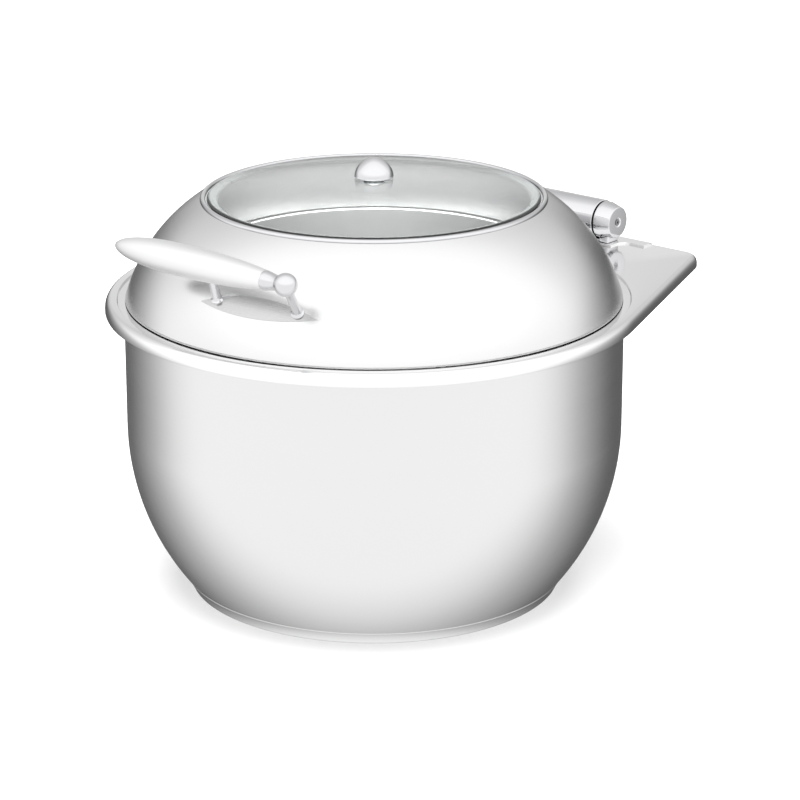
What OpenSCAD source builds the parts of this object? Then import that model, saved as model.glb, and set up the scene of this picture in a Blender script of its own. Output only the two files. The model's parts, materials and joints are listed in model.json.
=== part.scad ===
/* [Water pan and base] */
// Outer diameter of the round water pan
pan_d = 383; // [350:1:440]
// Height of the flat frame top above the table
frame_top_z = 230.5; // [215:0.5:270]
// Height of the centre of the pan's rounded lower half
bowl_centre_z = 130; // [115:1:140]
// Sheet thickness of the water pan
pan_t = 1.2; // [0.8:0.1:2]
// Thickness of the induction base disc
base_t = 9.6; // [6:0.2:12]
// How far the base disc narrows towards the table
base_taper = 4.6; // [2:0.2:8]

/* [Top frame] */
// Width of the frame from the pan wall to its outer edge
frame_w = 14.5; // [12:0.5:20]
// Depth of the frame's folded edge
frame_lip = 9.9; // [8:0.1:14]
// Sheet thickness of the frame
frame_t = 2; // [1.5:0.1:3]
// Depth of the recess that the lid sits in
seat_drop = 1.5; // [1:0.1:3]
// Gap between the lid's edge and the wall of its recess
seat_gap = 5.9; // [4:0.1:8]
// How far the hinge plate reaches behind the round frame
plate_reach = 47; // [40:1:60]
// Corner radius of the hinge plate
plate_corner_r = 18; // [10:1:24]

/* [Soup pot] */
// Outer diameter of the soup pot's wall
pot_d = 252.4; // [210:0.2:300]
// Height of the soup pot's rim above the frame top
pot_rise = 34; // [25:1:38]
// Clear height between the pan's floor and the pot
water_depth = 29; // [20:1:60]
// Wall thickness of the soup pot
pot_t = 1; // [0.8:0.1:1.5]
// Width of the pot's rolled rim
pot_rim_w = 4.2; // [3:0.1:8]

/* [Lid] */
// Height from the lid's lower edge to the top of its dome
lid_rise = 74.9; // [60:0.1:90]
// Radius of the dome's curve, seen from the side
dome_curve_r = 132.7; // [100:0.1:180]
// Sheet thickness of the lid
lid_t = 1.1; // [0.8:0.1:1.6]
// Diameter of the polished ring round the window
window_d = 260; // [220:1:290]
// Thickness of the window glass
glass_t = 4; // [3:0.5:6]
// How far the window glass bulges upwards
glass_rise = 13.5; // [6:0.5:20]
// Diameter of the knob in the middle of the window
knob_d = 30; // [24:0.5:40]
// Height of the knob above the glass
knob_h = 15.6; // [10:0.1:22]

/* [Handle] */
// Length of the grip without its metal end
grip_len = 147; // [120:1:170]
// Thickness of the grip at its fattest
grip_d = 23.7; // [20:0.1:28]
// Height of the grip above the lid's lower edge
grip_z = 63.4; // [55:0.1:70]
// Diameter of the two handle posts
post_d = 6.6; // [5:0.1:9]
// Distance between the two handle posts
post_gap = 67; // [50:1:80]
// Angle that the handle plate is turned round the lid
post_turn = 11; // [0:1:15]

/* [Hinge] */
// Diameter of the hinge barrel and its end caps
barrel_d = 32.4; // [26:0.1:39]
// Length of the middle barrel
barrel_len = 94.4; // [70:0.2:110]
// Length of each end cap
cap_len = 14; // [12:0.1:20]
// Diameter of the hinge shaft
shaft_d = 10; // [8:0.1:12]

/* [Fits] */
// Radial clearance between the shaft and its bushes
run_gap = 0.05; // [0.02:0.01:0.1]
// Clearance between moving neighbours
clear = 0.3; // [0.3:0.05:0.6]
// Clearance between the hinge barrel and the pad below it
barrel_gap = 0.8; // [0.5:0.1:3]

/* [Hidden] */
$fn = 96;
eps = 0.01;
steel = "silver";
polished = "gainsboro";

// Pan and base
pan_r = pan_d / 2;
pan_floor_z = base_t + pan_t;
foot_r = sqrt(pow(pan_r, 2) - pow(bowl_centre_z - base_t, 2));
pan_flange_w = 7;

// Frame
frame_r = pan_r + frame_w;
frame_edge_z = frame_top_z - frame_lip;
edge_step = 1.6;
seat_z = frame_top_z - seat_drop;
lid_r = pan_r - 0.9;
seat_r = lid_r + seat_gap;
frame_hole_r = pan_r - 15.5;
pan_top_z = seat_z - frame_t;
plate_y = frame_r + plate_reach;
plate_tilt = 19.6;
corner_y = plate_y - plate_corner_r;
corner_x = (frame_r - plate_corner_r - corner_y * sin(plate_tilt)) / cos(plate_tilt);
tangent = [cos(plate_tilt), sin(plate_tilt)];
side_tuck = 0.06;

// Soup pot and its collar
pot_r = pot_d / 2;
pot_rim_r = pot_r + pot_rim_w;
pot_top_z = frame_top_z + pot_rise;
pot_floor_z = pan_floor_z + water_depth;
pot_floor_t = 3;
pot_corner_r = 16;
rim_t = 2;
collar_t = 1.2;
collar_top_z = pot_top_z - rim_t - clear;
collar_hole_r = pot_r + 0.8;
collar_lip_w = 6;
collar_r = frame_hole_r + 4.8;
collar_flange_w = 9;

// Lid: the dome is one arc between its lower edge and its top edge
lid_z = seat_z + 2 * clear;
lid_flange_w = 8;
window_r = window_d / 2;
dome_top_r = window_r + 1.6;
dome_top_z = lid_z + lid_rise + 1.5;
chord = [dome_top_r - lid_r, dome_top_z - lid_z];
half_chord = norm(chord) / 2;
dome_back = sqrt(pow(dome_curve_r, 2) - pow(half_chord, 2));
dome_c = [(dome_top_r + lid_r) / 2, (dome_top_z + lid_z) / 2]
         + dome_back * [-chord[1], chord[0]] / norm(chord);
function dome_z(r) = dome_c[1] + sqrt(pow(dome_curve_r, 2) - pow(r - dome_c[0], 2));

// Window
ledge_drop = 4.6;
ledge_t = 1;
ledge_z = dome_top_z - ledge_drop;
ledge_in_r = window_r - 12;
gasket_t = 1.2;
gasket_r = window_r - 1.8;
glass_r = gasket_r - 1.4;
glass_z = ledge_z + ledge_t + gasket_t;
glass_ball_r = (pow(glass_r, 2) + pow(glass_rise, 2)) / (2 * glass_rise);
glass_ball_z = glass_z + glass_rise - glass_ball_r;
glass_in_z = glass_z + glass_rise;
glass_top_z = glass_in_z + glass_t;
ring_bead_r = 2.2;

// Knob
washer_t = 0.8;
knob_r = knob_d / 2;
knob_z = glass_top_z + washer_t;
drip_r = 8.5;
drip_h = 5.2;
stud_r = 3;
stud_hole_r = 4;

// Handle
grip_y = -(lid_r - 2.6);
grip_axis_z = lid_z + grip_z;
grip_x0 = -89;
collar_x = grip_x0 + grip_len;
ball_r = 8.6;
ball_x = collar_x + 19.5;
neck_r = 7.2;
fat_at = 0.46;
grip_power = 2.4;
post_r = post_d / 2;
post_foot_r = lid_r - 15.6;
post_foot_z = dome_z(post_foot_r);
half_turn = asin(post_gap / 2 / post_foot_r);
plate_len = post_gap + 31;
plate_wide = 16;
plate_t = 0.8;
plate_curve_r = (pow(plate_len, 2) + pow(plate_wide, 2)) / (4 * plate_wide);
dome_slope = atan2(post_foot_z - dome_c[1], post_foot_r - dome_c[0]);
left_foot = post_foot_at(post_turn - half_turn);
right_foot = post_foot_at(post_turn + half_turn);
left_head = [4, grip_y, grip_axis_z];
right_head = [ball_x, grip_y, grip_axis_z];
nut_r = 5.5;
nut_h = 4;
stud_tail = 1;
posts = [[left_foot, left_head], [right_foot, right_head]];

// Hinge
hinge_y = plate_y - 22;
barrel_r = barrel_d / 2;
pad_t = 1.2;
pad_z = frame_top_z + pad_t;
hinge_z = pad_z + barrel_gap + barrel_r;
barrel_wall = 6;
barrel_bore_r = barrel_r - barrel_wall;
half_barrel = barrel_len / 2;
groove_w = 1.2;
cap_x = half_barrel + groove_w;
cap_end_x = cap_x + cap_len;
cap_taper = 10;
cap_face_r = barrel_r - 2.8;
boss_r = 9;
boss_len = cap_len - 3.6;
shaft_r = shaft_d / 2;
shaft_end_x = cap_x + boss_len - 0.6;
washer_w = 0.6;
bush_len = 10;
damper_len = 26;
foot_w = boss_len - 1;
foot_deep = 15;
pad_half_x = cap_end_x + 21.2;
pad_front_y = hinge_y - 9.5;
pad_wing_y = hinge_y + 7;
pad_rear_y = plate_y - 4;
bolt_x = cap_x + foot_w / 2;
bolt_dy = 4.5;
bolt_r = 2;
bolt_head_r = 3.9;
bolt_head_h = 2.8;
bolt_top_z = hinge_z - shaft_r - 2.6;
back_t = 2.5;
back_z = frame_top_z - frame_t - back_t;
cap_screw_r = 2;
cap_screw_head_r = 3.6;
cap_screw_len = 12;
arm_half_x = 16;
arm_t = 6;
arm_plate_t = 2.5;
arm_plate_h = 26;
arm_plate_z = hinge_z - arm_t / 2 - 3;
arm_plate_half_x = arm_half_x + 16;
bumper_r = 3;
bumper_at_r = lid_r - 4;

// A point on the dome where a handle post stands, at an angle from the front
function post_foot_at(a) = [post_foot_r * sin(a), -post_foot_r * cos(a), post_foot_z];

// The direction of a post, and how far down it the nut sits so that its whole rim clears the dome
function post_line(p) = (p[1] - p[0]) / norm(p[1] - p[0]);
function dome_normal(foot) = [
    foot[0] / post_foot_r * cos(dome_slope), foot[1] / post_foot_r * cos(dome_slope), sin(dome_slope)
];
function nut_depth(p) =
    let (lean = acos(post_line(p) * dome_normal(p[0]))) (lid_t + clear + nut_r * sin(lean)) / cos(lean);

// The grip's radius along its length, from its free tip (0) to its metal end (1)
function grip_radius(t) =
    t < fat_at ? grip_d / 2 * sqrt(1 - pow((fat_at - t) / fat_at, grip_power))
               : neck_r + (grip_d / 2 - neck_r) * (1 - pow((t - fat_at) / (1 - fat_at), grip_power));

// The knob's half section above its foot: full and round, drawn up to a small tip
knob_edge = 0.8;
knob_curve = [for (i = [0 : 12]) let (t = 1 - pow(1 - i / 12, 1.6))
    [knob_r * pow(1 - pow(t, 1.8), 0.6), knob_edge + (knob_h - knob_edge) * t]];

// A round ring about the vertical axis
module ring(r_out, r_in, z, h) {
    rotate_extrude() translate([r_in, z]) square([r_out - r_in, h]);
}

// A rod between two points
module rod(from, to, r) {
    v = to - from;
    translate(from) rotate([0, acos(v[2] / norm(v)), atan2(v[1], v[0])]) cylinder(h = norm(v), r = r);
}

// Turns a shape so that its own Z runs along +X on the hinge axis, starting at x
module on_hinge(x) {
    translate([x, hinge_y, hinge_z]) rotate([0, 90, 0]) children();
}

// A tube on the hinge axis
module hinge_tube(x, len, r_out, r_in) {
    on_hinge(x) difference() {
        cylinder(h = len, r = r_out);
        translate([0, 0, -1]) cylinder(h = len + 2, r = r_in);
    }
}

// Half section of the pan's outer body, shrunk by its wall for the inside
module pan_section(shrink, floor_z, top_z) {
    intersection() {
        translate([0, bowl_centre_z]) circle(r = pan_r - shrink, $fn = 192);
        translate([0, floor_z]) square([pan_r, bowl_centre_z - floor_z]);
    }
    translate([0, bowl_centre_z - eps]) square([pan_r - shrink, top_z - bowl_centre_z + eps]);
}

// Frame outline: a circle blended by straight sides into the hinge plate.
// The sides lie side_tuck inside the round parts, so that each side crosses them cleanly.
module frame_outline(inset) {
    round_r = frame_r - inset;
    corner_r = plate_corner_r - inset;
    circle(r = round_r, $fn = 192);
    for (s = [-1, 1]) translate([s * corner_x, corner_y]) circle(r = corner_r, $fn = 48);
    tucked_r = corner_r - side_tuck;
    corner = [corner_x, corner_y];
    right = [(round_r - side_tuck) * tangent, corner + tucked_r * tangent, corner + [0, tucked_r]];
    left = [for (i = [2 : -1 : 0]) [-right[i][0], right[i][1]]];
    polygon(concat(right, left));
}

// Half section of the lid's curved wall, between two offsets from its outer face
module dome_section(out, in) {
    intersection() {
        difference() {
            translate(dome_c) circle(r = dome_curve_r + out, $fn = 256);
            translate(dome_c) circle(r = dome_curve_r + in, $fn = 256);
        }
        translate([dome_top_r, lid_z]) square([lid_r + 5, dome_top_z - lid_z + 5]);
    }
}

module induction_base() {
    color("lightgray") rotate_extrude() polygon([
        [0, 0], [foot_r - base_taper - 1, 0], [foot_r - base_taper, 1],
        [foot_r, base_t], [0, base_t]
    ]);
}

module water_pan() {
    color(steel) rotate_extrude($fn = 192) difference() {
        union() {
            pan_section(0, base_t, pan_top_z);
            translate([0, pan_top_z - pan_t]) square([pan_r + pan_flange_w, pan_t]);
        }
        pan_section(pan_t, pan_floor_z, pan_top_z + 1);
    }
}

module top_frame() {
    color(polished) difference() {
        union() {
            translate([0, 0, frame_edge_z]) linear_extrude(frame_lip - edge_step) frame_outline(0);
            translate([0, 0, frame_edge_z]) linear_extrude(frame_lip) frame_outline(edge_step);
        }
        difference() {
            translate([0, 0, frame_edge_z - 1]) linear_extrude(frame_lip + 1 - frame_t)
                frame_outline(frame_t);
            ring(seat_r + frame_t, 0, pan_top_z, frame_lip);
        }
        translate([0, 0, seat_z]) cylinder(h = frame_lip, r = seat_r, $fn = 192);
        translate([0, 0, frame_edge_z - 1]) cylinder(h = frame_lip * 2, r = frame_hole_r, $fn = 192);
        hinge_bolt_places() translate([0, 0, -frame_lip]) cylinder(h = frame_lip * 2, r = bolt_r, $fn = 24);
        bumper_places() translate([0, 0, -frame_lip]) cylinder(h = frame_lip * 2, r = bumper_r / 2, $fn = 24);
    }
}

module bumper_places() {
    for (a = [35, 145, 215, 325]) rotate(a) translate([bumper_at_r, 0, seat_z]) children();
}

module lid_bumpers() {
    color("whitesmoke") bumper_places() {
        cylinder(h = clear, r = bumper_r, $fn = 24);
        translate([0, 0, -frame_t]) cylinder(h = frame_t + eps, r = bumper_r / 2, $fn = 24);
    }
}

module hinge_bolt_places() {
    for (x = [-bolt_x, bolt_x], dy = [-bolt_dy, bolt_dy]) translate([x, hinge_y + dy, frame_top_z]) children();
}

module hinge_pad() {
    corner_r = 8;
    color(polished) difference() {
        translate([0, 0, frame_top_z]) linear_extrude(pad_t) {
            translate([-cap_end_x, pad_front_y]) square([2 * cap_end_x, pad_rear_y - pad_front_y]);
            translate([-pad_half_x, pad_wing_y]) square([2 * pad_half_x, pad_rear_y - pad_wing_y]);
            for (s = [-1, 1]) difference() {
                translate([s * cap_end_x - (s < 0 ? corner_r : 0), pad_wing_y - corner_r])
                    square([corner_r, corner_r]);
                translate([s * (cap_end_x + corner_r), pad_wing_y - corner_r]) circle(r = corner_r, $fn = 48);
            }
        }
        hinge_bolt_places() translate([0, 0, -1]) cylinder(h = pad_t + 2, r = bolt_r, $fn = 24);
    }
}

module hinge_backing_plate() {
    color("gray") difference() {
        translate([-cap_end_x - 8, pad_front_y, back_z])
            cube([2 * cap_end_x + 16, pad_rear_y - pad_front_y - 2, back_t]);
        hinge_bolt_places() translate([0, 0, -frame_lip]) cylinder(h = frame_lip, r = bolt_r, $fn = 24);
    }
}

module hinge_bolts() {
    color("dimgray") hinge_bolt_places() {
        translate([0, 0, back_z - frame_top_z]) cylinder(h = bolt_top_z - back_z, r = bolt_r, $fn = 24);
        translate([0, 0, back_z - frame_top_z - bolt_head_h]) cylinder(h = bolt_head_h, r = bolt_head_r, $fn = 6);
    }
}

// One shaft support: side is -1 for the left and 1 for the right
module hinge_foot(side) {
    x = side > 0 ? cap_x : -cap_x - boss_len;
    color("darkgray") difference() {
        union() {
            on_hinge(x) cylinder(h = boss_len, r = boss_r, $fn = 64);
            translate([side > 0 ? cap_x : -cap_x - foot_w, hinge_y - foot_deep / 2, pad_z])
                cube([foot_w, foot_deep, hinge_z - pad_z]);
        }
        on_hinge(x - 1) cylinder(h = boss_len + 2, r = shaft_r, $fn = 64);
        hinge_bolt_places() cylinder(h = bolt_top_z - frame_top_z, r = bolt_r, $fn = 24);
    }
}

module hinge_foot_left() {
    hinge_foot(-1);
}

module hinge_foot_right() {
    hinge_foot(1);
}

module hinge_shaft() {
    color("gray") difference() {
        on_hinge(-shaft_end_x) cylinder(h = 2 * shaft_end_x, r = shaft_r, $fn = 64);
        for (s = [-1, 1]) cap_screw_place(s) cylinder(h = cap_screw_len, r = cap_screw_r, $fn = 24);
    }
}

// Puts a child at an end cap's outer face, with its own Z pointing inwards
module cap_screw_place(side) {
    translate([side * cap_end_x, hinge_y, hinge_z]) rotate([0, -side * 90, 0]) children();
}

module hinge_damper(x) {
    color("darkslategray") hinge_tube(x, damper_len, barrel_bore_r - clear, shaft_r);
}

module hinge_damper_left() {
    hinge_damper(-damper_len - 1);
}

module hinge_damper_right() {
    hinge_damper(1);
}

module thrust_washers() {
    color("dimgray") for (x = [-half_barrel - groove_w, half_barrel + groove_w - washer_w])
        hinge_tube(x, washer_w, barrel_r - 1.4, shaft_r);
}

// One end cap: a cup over the shaft support, held by a screw in the shaft's end
module hinge_cap(side) {
    color(polished) difference() {
        cap_screw_place(side) {
            cylinder(h = cap_taper, r1 = cap_face_r, r2 = barrel_r);
            translate([0, 0, cap_taper]) cylinder(h = cap_len - cap_taper, r = barrel_r);
        }
        cap_screw_place(side) {
            translate([0, 0, cap_len - boss_len]) cylinder(h = boss_len + 1, r = boss_r, $fn = 64);
            translate([0, 0, -1]) cylinder(h = cap_len, r = cap_screw_r, $fn = 24);
            translate([0, 0, -eps]) cylinder(h = 2.2, r1 = cap_screw_head_r, r2 = cap_screw_r, $fn = 24);
        }
        translate([side > 0 ? cap_x - 1 : -cap_x - foot_w, hinge_y - foot_deep / 2, hinge_z - 2 * barrel_r])
            cube([foot_w + 1, foot_deep, 2 * barrel_r]);
    }
}

module hinge_cap_left() {
    hinge_cap(-1);
}

module hinge_cap_right() {
    hinge_cap(1);
}

module hinge_cap_screws() {
    color("gray") for (s = [-1, 1]) cap_screw_place(s) difference() {
        union() {
            translate([0, 0, 0.4]) cylinder(h = cap_screw_len - 0.6, r = cap_screw_r, $fn = 24);
            translate([0, 0, 0.4]) cylinder(h = 1.2, r1 = cap_screw_head_r - 0.8, r2 = cap_screw_r, $fn = 24);
        }
        cylinder(h = 1.4, r = 1.1, $fn = 6);
    }
}

module adapter_collar() {
    color(steel) rotate_extrude($fn = 192) polygon([
        [collar_r, seat_z], [collar_r, seat_z + collar_t],
        [collar_r - collar_flange_w, seat_z + collar_t],
        [collar_hole_r + collar_lip_w, collar_top_z],
        [collar_hole_r, collar_top_z],
        [collar_hole_r, collar_top_z - collar_t],
        [collar_hole_r + collar_lip_w - 0.5, collar_top_z - collar_t],
        [collar_r - collar_flange_w - 0.7, seat_z]
    ]);
}

// Half section of the pot's body, with a rounded corner at its floor
module pot_section(shrink, floor_z, top_z) {
    corner_r = pot_corner_r - shrink;
    r = pot_r - shrink;
    translate([0, floor_z]) square([r - corner_r, top_z - floor_z]);
    translate([0, floor_z + corner_r]) square([r, top_z - floor_z - corner_r]);
    translate([r - corner_r, floor_z + corner_r]) circle(r = corner_r, $fn = 48);
}

module soup_pot() {
    color(steel) rotate_extrude($fn = 192) difference() {
        union() {
            pot_section(0, pot_floor_z, pot_top_z);
            translate([0, pot_top_z - rim_t]) square([pot_rim_r - rim_t / 2, rim_t]);
            translate([pot_rim_r - rim_t / 2, pot_top_z - rim_t / 2]) circle(r = rim_t / 2, $fn = 24);
        }
        pot_section(pot_t, pot_floor_z + pot_floor_t, pot_top_z + 1);
    }
}

module lid_dome() {
    color(steel) difference() {
        rotate_extrude($fn = 192) {
            dome_section(0, -lid_t);
            translate([lid_r - lid_flange_w, lid_z]) square([lid_flange_w - lid_t / 2, lid_t]);
            translate([ledge_in_r, ledge_z]) square([dome_top_r + lid_t - ledge_in_r, ledge_t]);
            translate([dome_top_r, ledge_z]) square([lid_t, ledge_drop - 0.8]);
        }
        post_holes();
    }
}

module window_ring() {
    color(polished) rotate_extrude($fn = 192) {
        intersection() {
            translate([window_r, dome_top_z]) circle(r = ring_bead_r, $fn = 32);
            translate([window_r - ring_bead_r, dome_top_z]) square([2 * ring_bead_r, ring_bead_r]);
        }
        translate([gasket_r, ledge_z + ledge_t]) square([dome_top_r - gasket_r, ledge_drop - ledge_t]);
    }
}

module glass_gasket() {
    color("white") rotate_extrude($fn = 192) {
        translate([ledge_in_r + 1, ledge_z + ledge_t]) square([gasket_r - ledge_in_r - 1, gasket_t]);
        translate([glass_r, ledge_z + ledge_t]) square([gasket_r - glass_r, ledge_drop - ledge_t]);
    }
}

module window_glass() {
    color("lightcyan", 0.4) rotate_extrude($fn = 192) intersection() {
        difference() {
            translate([0, glass_ball_z]) circle(r = glass_ball_r + glass_t, $fn = 720);
            translate([0, glass_ball_z]) circle(r = glass_ball_r, $fn = 720);
        }
        translate([stud_hole_r, glass_z]) square([glass_r - stud_hole_r, glass_rise + glass_t + 1]);
    }
}

module knob_cap() {
    color(polished) difference() {
        translate([0, 0, knob_z]) rotate_extrude() polygon(concat([[0, 0], [knob_r - 1, 0]], knob_curve));
        translate([0, 0, knob_z - 1]) cylinder(h = knob_h / 2 + 1, r = stud_r, $fn = 32);
    }
}

module drip_boss() {
    z = glass_in_z - washer_t;
    color(polished) difference() {
        rotate_extrude() polygon([
            [0, z], [drip_r, z], [drip_r * 0.9, z - 0.25 * drip_h], [drip_r * 0.55, z - 0.68 * drip_h],
            [drip_r * 0.2, z - 0.95 * drip_h], [0, z - drip_h]
        ]);
        translate([0, 0, z - drip_h / 2]) cylinder(h = drip_h, r = stud_r, $fn = 32);
    }
}

module knob_stud() {
    color("gray") translate([0, 0, glass_in_z - washer_t - drip_h / 2])
        cylinder(h = glass_t + 2 * washer_t + drip_h / 2 + knob_h / 2, r = stud_r, $fn = 32);
}

module knob_washers() {
    color("white") difference() {
        union() {
            translate([0, 0, glass_top_z - 0.2]) cylinder(h = washer_t + 0.2, r = drip_r, $fn = 48);
            translate([0, 0, glass_in_z - washer_t]) cylinder(h = washer_t, r = drip_r - 1, $fn = 48);
        }
        translate([0, 0, glass_ball_z]) intersection() {
            difference() {
                sphere(r = glass_ball_r + glass_t, $fn = 720);
                sphere(r = glass_ball_r, $fn = 720);
            }
            translate([0, 0, glass_ball_r - 5]) cylinder(h = 20, r = 20);
        }
        translate([0, 0, glass_in_z - 5]) cylinder(h = 20, r = stud_r, $fn = 32);
    }
}

// The pointed plate under the posts, curved to sit flush on the dome
module handle_plate() {
    color("silver") difference() {
        intersection() {
            rotate_extrude($fn = 192) dome_section(plate_t, 0);
            rotate(post_turn) translate([0, -post_foot_r, post_foot_z]) rotate([90 - dome_slope, 0, 0])
                translate([0, 0, -12]) linear_extrude(24) intersection_for (s = [-1, 1])
                    translate([0, s * (plate_curve_r - plate_wide / 2)]) circle(r = plate_curve_r, $fn = 256);
        }
        post_holes();
    }
}

// One post: it runs from inside the lid, through the dome, into the grip or its ball
module handle_post(p) {
    color(polished) rod(p[0] - (nut_depth(p) + nut_h + stud_tail) * post_line(p), p[1], post_r);
}

module handle_post_left() {
    handle_post(posts[0]);
}

module handle_post_right() {
    handle_post(posts[1]);
}

// What the posts cut out of the pieces that they pass through
module post_holes() {
    for (p = posts) rod(p[0] - (nut_depth(p) + nut_h + 2 * stud_tail) * post_line(p), p[1], post_r);
}

module handle_grip() {
    steps = 28;
    curve = [for (i = [0 : steps]) let (t = (1 - cos(180 * i / steps)) / 2) [grip_radius(t), t * grip_len]];
    color("white") difference() {
        translate([grip_x0, grip_y, grip_axis_z]) rotate([0, 90, 0])
            rotate_extrude($fn = 64) polygon(concat(curve, [[0, grip_len]]));
        rod(left_foot, left_head, post_r);
    }
}

module grip_end_ball() {
    color(polished) difference() {
        translate([collar_x, grip_y, grip_axis_z]) rotate([0, 90, 0]) rotate_extrude($fn = 64) {
            polygon([[0, 0], [neck_r, 0], [neck_r - 0.6, 7], [neck_r - 1.4, 14], [0, 14]]);
            intersection() {
                translate([0, ball_x - collar_x]) circle(r = ball_r, $fn = 64);
                translate([0, ball_x - collar_x - ball_r]) square([ball_r, 2 * ball_r]);
            }
        }
        rod(right_foot, right_head, post_r);
    }
}

// Nut and slanted washer on each post: the washer's upper face follows the inside of the dome
module handle_nuts() {
    color("gray") difference() {
        intersection() {
            for (p = posts) rod(p[0] - (nut_depth(p) + nut_h) * post_line(p), p[0], nut_r);
            rotate_extrude($fn = 192) dome_section(-lid_t, -lid_t - 20);
        }
        post_holes();
    }
}

module hinge_barrel() {
    color(polished) hinge_tube(-half_barrel, barrel_len, barrel_r, barrel_bore_r);
}

module hinge_bush(x) {
    color("peru") hinge_tube(x, bush_len, barrel_bore_r, shaft_r + run_gap);
}

module hinge_bush_left() {
    hinge_bush(-half_barrel);
}

module hinge_bush_right() {
    hinge_bush(half_barrel - bush_len);
}

// A patch of shell on the back of the dome, between two offsets from its outer face
module dome_patch(out, in, half_x) {
    intersection() {
        rotate_extrude($fn = 192) dome_section(out, in);
        translate([-half_x, 0, arm_plate_z]) cube([2 * half_x, frame_r, arm_plate_h]);
    }
}

// The arm and its curved plate, which is welded to the back of the dome and to the barrel
module hinge_arm() {
    color(polished) {
        dome_patch(arm_plate_t, 0, arm_plate_half_x);
        difference() {
            translate([-arm_half_x, pan_r - 30, hinge_z - arm_t / 2])
                cube([2 * arm_half_x, hinge_y - pan_r + 30, arm_t]);
            rotate_extrude($fn = 192) intersection() {
                translate(dome_c) circle(r = dome_curve_r + arm_plate_t / 2, $fn = 256);
                translate([0, lid_z]) square([lid_r + 10, lid_rise]);
            }
            on_hinge(-arm_half_x - 1) cylinder(h = 2 * arm_half_x + 2, r = barrel_r);
        }
    }
}

induction_base();
water_pan();
top_frame();
lid_bumpers();
hinge_pad();
hinge_backing_plate();
hinge_bolts();
hinge_foot_left();
hinge_foot_right();
hinge_shaft();
hinge_damper_left();
hinge_damper_right();
thrust_washers();
hinge_cap_left();
hinge_cap_right();
hinge_cap_screws();
adapter_collar();
soup_pot();
lid_dome();
window_ring();
glass_gasket();
window_glass();
knob_cap();
knob_stud();
knob_washers();
drip_boss();
handle_plate();
handle_post_left();
handle_post_right();
handle_grip();
grip_end_ball();
handle_nuts();
hinge_barrel();
hinge_bush_left();
hinge_bush_right();
hinge_arm();
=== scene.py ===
"""Soup kettle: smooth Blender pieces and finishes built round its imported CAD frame."""

import json
import math

import bmesh
import bpy
from mathutils import Matrix, Vector


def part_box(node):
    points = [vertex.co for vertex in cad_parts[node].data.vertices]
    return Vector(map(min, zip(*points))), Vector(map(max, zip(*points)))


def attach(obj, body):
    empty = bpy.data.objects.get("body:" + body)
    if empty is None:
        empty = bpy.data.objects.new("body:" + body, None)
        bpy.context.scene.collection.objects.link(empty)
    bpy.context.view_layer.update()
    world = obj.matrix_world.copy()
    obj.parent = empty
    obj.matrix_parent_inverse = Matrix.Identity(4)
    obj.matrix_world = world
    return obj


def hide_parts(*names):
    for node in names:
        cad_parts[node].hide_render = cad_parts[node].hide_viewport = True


bl_info = {
    "name": "Soup kettle",
    "version": (1, 0, 0),
    "blender": (4, 5, 0),
    "location": "View3D > Sidebar > Kettle",
    "description": "Builds a round buffet soup kettle with a hinged window lid",
    "category": "Add Mesh",
}

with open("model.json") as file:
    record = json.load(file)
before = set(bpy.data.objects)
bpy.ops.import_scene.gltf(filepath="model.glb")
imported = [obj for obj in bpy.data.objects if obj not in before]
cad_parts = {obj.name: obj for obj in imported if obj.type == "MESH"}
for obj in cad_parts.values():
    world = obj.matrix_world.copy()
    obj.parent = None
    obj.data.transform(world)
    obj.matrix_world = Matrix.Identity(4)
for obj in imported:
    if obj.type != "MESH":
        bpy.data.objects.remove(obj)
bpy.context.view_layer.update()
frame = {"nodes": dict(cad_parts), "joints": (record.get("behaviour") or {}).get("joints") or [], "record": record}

MM = 0.001
TURN = 2 * math.pi
AXIS_Z = Vector((0, 0, 1))

hinge_joint = next(j for j in frame["joints"] if j["name"] == "lid_hinge")
HINGE = Vector(hinge_joint["pos_m"])

# sizes that more than one piece takes
PAN_FLANGE = 7 * MM
POT_WALL = 1 * MM
POT_RIM = 4.2 * MM
COLLAR_GAP = 0.8 * MM
WINDOW_LEDGE = 4.6 * MM
RING_STEP = 1.6 * MM
BARREL_WALL = 6 * MM
POST_RADIUS = 3.3 * MM


# ---------------------------------------------------------------- sizes and colours


def length(name, text, value):
    """A size in metres that a user can change."""
    return bpy.props.FloatProperty(
        name=name, description=text, default=value, min=0, unit="LENGTH", precision=5
    )


def colour(name, text, value):
    """A colour as an sRGB hex value, such as #C9CACB."""
    return bpy.props.StringProperty(name=name, description=text, default=value, maxlen=7)


def top_of(node):
    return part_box(node)[1].z


def low_of(node):
    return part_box(node)[0].z


def radius_of(node):
    """Radius of a round node that stands on the kettle's own axis."""
    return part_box(node)[1].x


class KettlePanSizes(bpy.types.PropertyGroup):
    radius: length("Pan radius", "Outer radius of the water pan", radius_of("water_pan") - PAN_FLANGE)
    bowl_centre: length("Bowl centre", "Height of the centre of the pan's round half", 130 * MM)
    sheet: length("Pan sheet", "Sheet thickness of the pan", 1.2 * MM)
    base_taper: length("Base taper", "How far the base disc narrows towards the table", 4.6 * MM)


class KettleFrameSizes(bpy.types.PropertyGroup):
    sheet: length("Frame sheet", "Sheet thickness of the top frame", 2 * MM)
    edge_roll: length("Edge roll", "Radius of the frame's rolled outer edge", 5 * MM)
    seat_radius: length("Seat radius", "Radius of the recess that the lid sits in", 196.5 * MM)
    seat_drop: length("Seat drop", "Depth of the recess that the lid sits in", 1.5 * MM)
    hole_radius: length("Hole radius", "Radius of the frame's inner edge", 176 * MM)
    corner: length("Corner radius", "Corner radius of the hinge plate", 18 * MM)
    side_angle: bpy.props.FloatProperty(
        name="Side angle",
        description="How far the hinge plate's sides lean in",
        default=math.radians(19.6),
        subtype="ANGLE",
    )


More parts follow.
